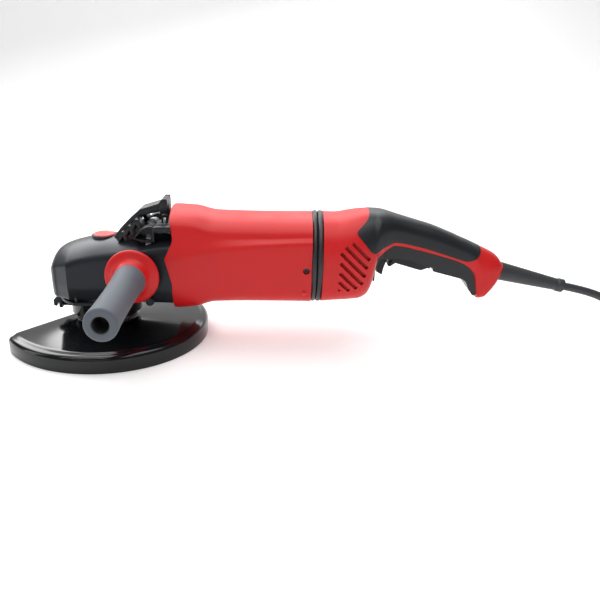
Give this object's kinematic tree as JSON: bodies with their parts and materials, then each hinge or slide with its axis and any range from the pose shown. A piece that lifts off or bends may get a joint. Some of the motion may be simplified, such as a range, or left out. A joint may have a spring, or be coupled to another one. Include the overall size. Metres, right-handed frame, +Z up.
{
  "type": "angle grinder",
  "caption": "Large two-handed corded angle grinder with a half-round disc guard, a side handle, a long rear handle with paddle trigger, and a coiled mains cord.",
  "frame": {"origin": "centre of the free end of the threaded spindle", "axes": "+X along the motor axis from the gear head to the rear handle, +Z up along the spindle, away from the disc side; the side handle points along -Y"},
  "size_m": [0.8227, 0.3073, 0.1636],
  "materials": {
    "head_metal": "satin",
    "cast_aluminium": "satin",
    "screw_steel": "satin",
    "black_plastic": "satin",
    "steel": "satin",
    "gear_steel": "satin",
    "bearing_steel": "polished",
    "seal_rubber": "matte",
    "red_button": "gloss",
    "spring_steel": "satin",
    "guard_paint": "gloss",
    "red_plastic": "satin gloss",
    "grey_rubber": "matte",
    "lamination_steel": "matte",
    "copper_wire": "enamelled",
    "copper_bars": "satin",
    "fan_plastic": "matte",
    "brass": "satin",
    "carbon": "matte",
    "damper_rubber": "satin",
    "black_soft_grip": "satin",
    "grey_plastic": "satin",
    "module_plastic": "matte",
    "trigger_plastic": "satin",
    "cord_rubber": "matte",
    "plug_plastic": "matte",
    "nickel": "polished"
  },
  "bodies": {
    "tool": {"gear_housing": "head_metal", "bearing_cover": "head_metal", "gear_case_screws": "screw_steel", "bearing_flange": "cast_aluminium", "air_deflector": "black_plastic", "spindle_lower_bearing": "bearing_steel", "spindle_upper_bearing": "bearing_steel", "spindle_seal": "seal_rubber", "front_bearing": "bearing_steel", "rear_bearing": "bearing_steel", "lock_collar": "steel", "lock_spring": "spring_steel", "side_handle_stud": "steel", "side_handle_core": "red_plastic", "side_handle_grip": "grey_rubber", "motor_housing": "red_plastic", "stator_core": "lamination_steel", "field_coils": "copper_wire", "air_baffle": "fan_plastic", "bearing_bracket": "fan_plastic", "brush_holders": "brass", "carbon_brushes": "carbon", "brush_springs": "spring_steel", "damper_ring_front": "damper_rubber", "damper_ring_rear": "damper_rubber", "coupling_sleeve": "fan_plastic", "rear_housing_left": "red_plastic", "rear_housing_right": "red_plastic", "soft_grip": "black_soft_grip", "lower_grip": "black_plastic", "finger_liner": "grey_plastic", "handle_screws": "screw_steel", "switch_module": "module_plastic", "electronics_module": "module_plastic", "handle_pins": "steel", "cord_boot": "cord_rubber", "cord_tube": "cord_rubber", "cord_coil": "cord_rubber", "plug_body": "plug_plastic", "plug_pins": "nickel"},
    "armature": {"armature_shaft": "steel", "armature_core": "lamination_steel", "armature_windings": "copper_wire", "commutator": "copper_bars", "cooling_fan": "fan_plastic", "pinion": "gear_steel", "pinion_nut": "steel"},
    "spindle": {"spindle": "steel", "crown_gear": "gear_steel", "inner_flange": "steel", "clamping_nut": "steel", "gear_circlip": "steel"},
    "guard": {"guard_shell": "guard_paint", "guard_band": "guard_paint", "lever_pin": "steel"},
    "guard_lever": {"guard_lever": "black_plastic"},
    "lock_button": {"lock_button": "red_button", "lock_pin": "steel"},
    "trigger": {"trigger": "trigger_plastic"},
    "lockoff_lever": {"lockoff_lever": "trigger_plastic"}
  },
  "joints": [
    {"name": "motor_spin", "type": "hinge", "parent": "tool", "child": "armature", "pos_m": [0.15, 0, 0.095], "axis": [1, 0, 0], "continuous": true},
    {"name": "spindle_spin", "type": "hinge", "parent": "tool", "child": "spindle", "pos_m": [0, 0, 0.055], "axis": [0, 0, 1], "continuous": true},
    {"name": "guard_turn", "type": "hinge", "parent": "tool", "child": "guard", "pos_m": [0, 0, 0.03], "axis": [0, 0, 1], "range_deg": [-60, 60]},
    {"name": "guard_lever_turn", "type": "hinge", "parent": "guard", "child": "guard_lever", "pos_m": [-0.047, 0.004, 0.038], "axis": [0, 0, -1], "range_deg": [0, 70]},
    {"name": "lock_button_press", "type": "slide", "parent": "tool", "child": "lock_button", "axis": [0, 0, -1], "range_m": [0, 0.0035], "stiffness_N_per_m": 700, "springref_m": -0.004},
    {"name": "trigger_press", "type": "hinge", "parent": "tool", "child": "trigger", "pos_m": [0.3675, 0, 0.0935], "axis": [0, 1, 0], "range_deg": [0, 4], "stiffness_Nm_per_rad": 0.6, "springref_deg": -20.05},
    {"name": "lockoff_press", "type": "hinge", "parent": "tool", "child": "lockoff_lever", "pos_m": [0.3225, 0, 0.098], "axis": [0, 1, 0], "range_deg": [0, 14], "stiffness_Nm_per_rad": 0.05, "springref_deg": -28.65}
  ],
  "couplings": [
    {"joint": "spindle_spin", "follows": "motor_spin", "ratio": 0.25581}
  ]
}
